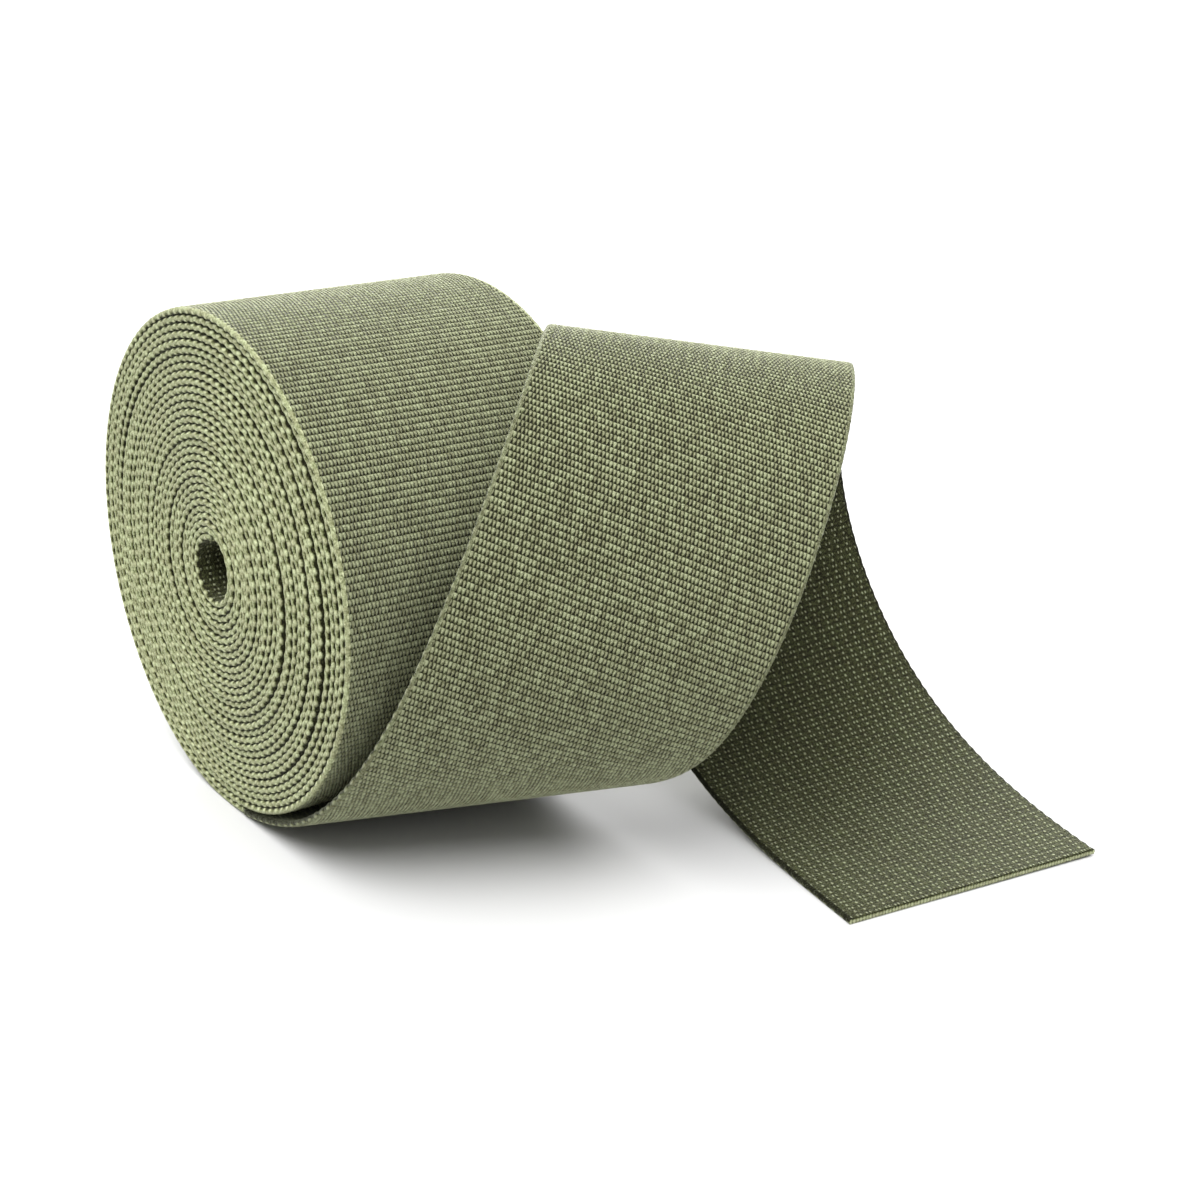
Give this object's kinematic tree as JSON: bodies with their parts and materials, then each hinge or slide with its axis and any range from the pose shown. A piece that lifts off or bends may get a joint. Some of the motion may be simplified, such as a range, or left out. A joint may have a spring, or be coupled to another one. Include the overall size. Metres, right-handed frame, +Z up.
{
  "type": "roll of webbing",
  "caption": "Roll of flat woven webbing wound on itself round a small open middle, its outer end turned over in one wide curl and lying flat in front.",
  "frame": {"origin": "middle of the narrow flat face at the bottom of the wound roll, on which it rests", "axes": "+X along the roll's axis, from the left end towards the side where the loose end lies; -Y towards the front, where the loose end runs out; +Z up"},
  "size_m": [0.1177, 0.1359, 0.0835],
  "materials": {
    "webbing": "matt olive green plain woven synthetic webbing"
  },
  "bodies": {
    "root": {"wound_roll": "webbing", "loose_end": "webbing"}
  },
  "joints": []
}
